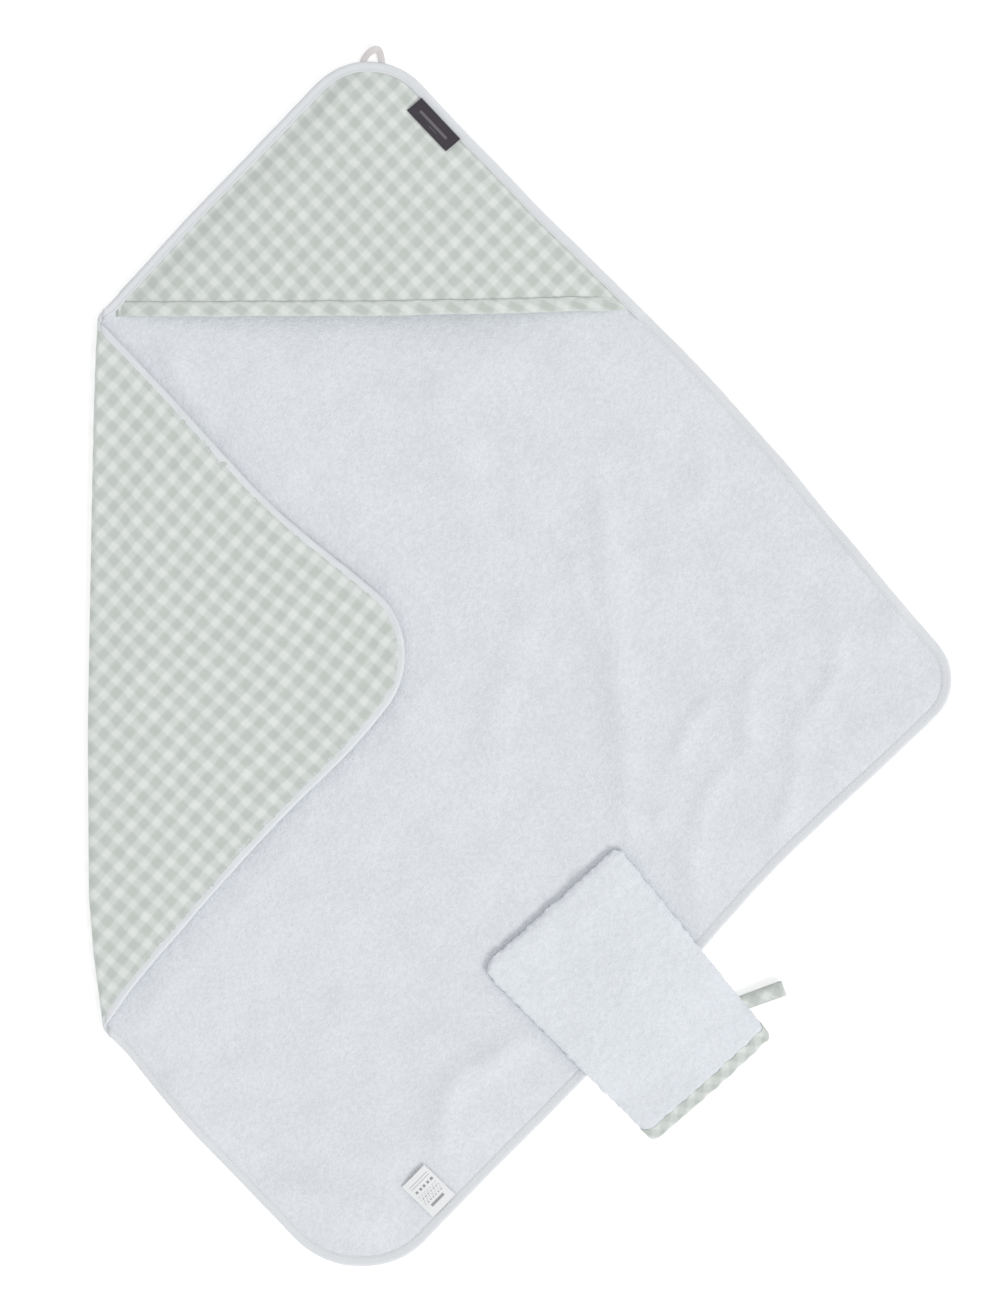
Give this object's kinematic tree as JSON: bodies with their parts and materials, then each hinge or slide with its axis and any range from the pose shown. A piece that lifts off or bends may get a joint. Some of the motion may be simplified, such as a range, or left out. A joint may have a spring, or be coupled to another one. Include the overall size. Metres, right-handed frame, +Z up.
{
  "type": "hooded baby towel",
  "caption": "Square hooded baby towel laid flat with one corner folded over, terry inside and gingham muslin outside, with a matching wash mitt.",
  "frame": {"origin": "middle of the square towel, on the floor under its muslin side", "axes": "+Z up out of the terry side, +Y to the hood's point, +X away from the folded corner"},
  "size_m": [0.7291, 1.0369, 0.0223],
  "materials": {
    "terry": "cotton terry, short loops",
    "mitt_terry": "cotton terry, longer loops",
    "gingham_muslin": "woven cotton muslin, pale sage gingham",
    "white_binding": "plain cotton bias tape",
    "gingham_binding": "gingham cotton cut on the bias",
    "loop_tape": "woven cotton tape",
    "woven_label": "woven damask label, blank",
    "satin_label": null
  },
  "bodies": {
    "towel": {"muslin_backing": "gingham_muslin", "terry_towel": "terry", "edge_binding": "white_binding", "muslin_fold": "gingham_muslin", "terry_fold": "terry", "hood_point_lining": "terry", "hood_point_panel": "gingham_muslin"},
    "corner_flap": {"muslin_flap": "gingham_muslin", "terry_flap": "terry", "flap_binding": "white_binding"},
    "hood": {"hood_front_lining": "terry", "hood_front_panel": "gingham_muslin", "hood_binding": "gingham_binding"},
    "hanging_loop": {"hanging_loop": "loop_tape"},
    "woven_label": {"woven_label": "woven_label"},
    "care_label": {"care_label": "satin_label"},
    "mitt": {"mitt_back": "mitt_terry", "mitt_back_binding": "gingham_binding"},
    "mitt_front": {"mitt_front": "mitt_terry", "mitt_front_binding": "gingham_binding"},
    "mitt_loop": {"mitt_loop": "gingham_binding"}
  },
  "joints": [
    {"name": "corner_unfold", "type": "hinge", "parent": "towel", "child": "corner_flap", "pos_m": [-0.224, 0, 0.0061], "axis": [0, -1, 0], "range_deg": [0, 179], "deforming": ["muslin_fold", "terry_fold"]},
    {"name": "hood_lift", "type": "hinge", "parent": "towel", "child": "hood", "pos_m": [0.006, 0.43, 0.0153], "axis": [-1, 0, 0], "range_deg": [0, 20]},
    {"name": "hanging_loop_swing", "type": "hinge", "parent": "towel", "child": "hanging_loop", "pos_m": [0.01, 0.5185, 0.0057], "axis": [1, 0, 0], "range_deg": [0, 150]},
    {"name": "woven_label_flip", "type": "hinge", "parent": "towel", "child": "woven_label", "pos_m": [0.06548, 0.46833, 0.01235], "axis": [-0.6768, 0.7362, 0], "range_deg": [0, 150]},
    {"name": "care_label_flip", "type": "hinge", "parent": "towel", "child": "care_label", "pos_m": [0.06981, -0.45143, 0.0062], "axis": [0.6988, 0.7153, 0], "range_deg": [0, 150]},
    {"name": "mitt_lift", "type": "slide", "parent": "towel", "child": "mitt", "axis": [0, 0, 1], "range_m": [0, 0.15]},
    {"name": "mitt_open", "type": "hinge", "parent": "mitt", "child": "mitt_front", "pos_m": [0.162, -0.202, 0.0095], "axis": [-0.7443, -0.6678, 0], "range_deg": [0, 12]},
    {"name": "mitt_loop_swing", "type": "hinge", "parent": "mitt", "child": "mitt_loop", "pos_m": [0.33296, -0.27567, 0.0064], "axis": [0.3404, -0.9403, 0], "range_deg": [0, 80]}
  ]
}
